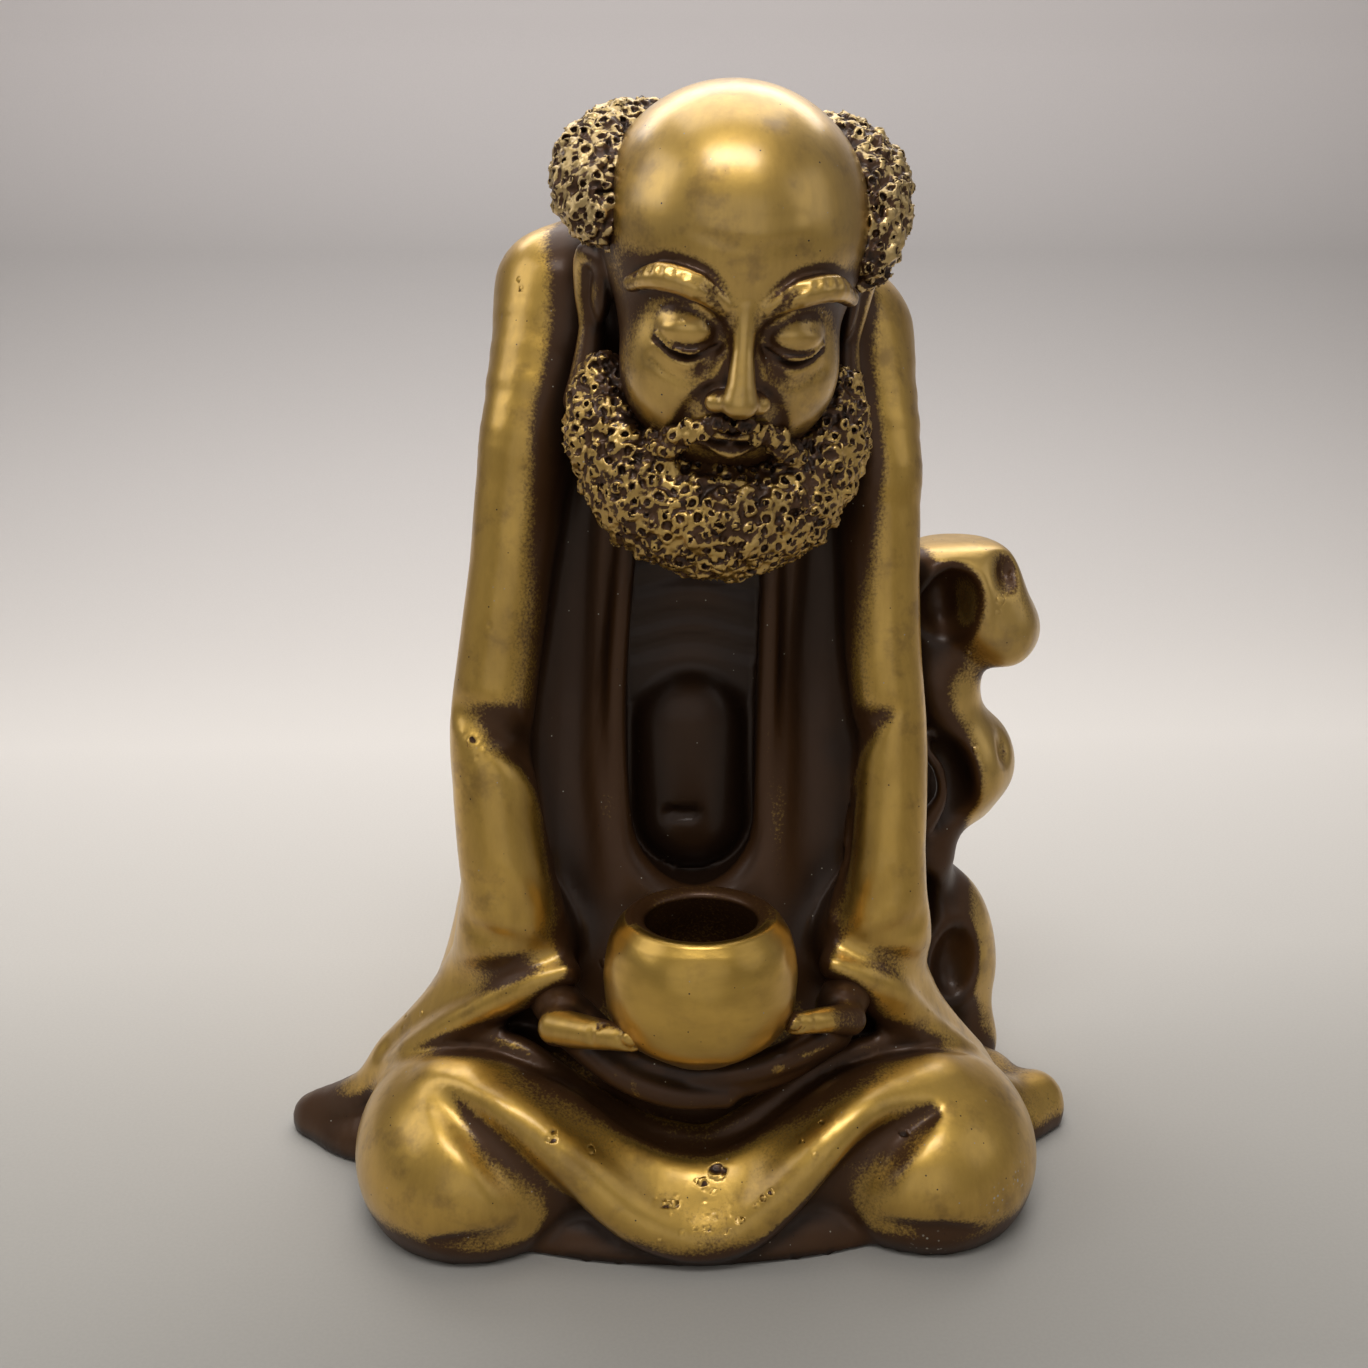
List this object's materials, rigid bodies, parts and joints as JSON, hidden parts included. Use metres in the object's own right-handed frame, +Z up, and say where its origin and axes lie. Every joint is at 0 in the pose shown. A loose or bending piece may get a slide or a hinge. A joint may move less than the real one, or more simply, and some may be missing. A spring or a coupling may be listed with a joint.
{
  "type": "bodhidharma incense burner",
  "caption": "Cast brass figure of a seated, bald, bearded monk with bowed head, holding an open incense bowl in his lap, with a pierced rock behind his shoulder.",
  "frame": {"origin": "middle of the flat underside, under the lap", "axes": "+Z up, -Y the way the figure faces, +X towards the viewer's right, the figure's left"},
  "size_m": [0.1358, 0.0783, 0.1713],
  "materials": {
    "figure": "rubbed brass with dark brown patina in the hollows",
    "scholar_rock": "rubbed brass with dark brown patina in the hollows",
    "incense_bowl": "rubbed brass, dark brown rim and inside"
  },
  "bodies": {
    "root": {"figure": "figure", "scholar_rock": "scholar_rock", "incense_bowl": "incense_bowl"}
  },
  "joints": []
}
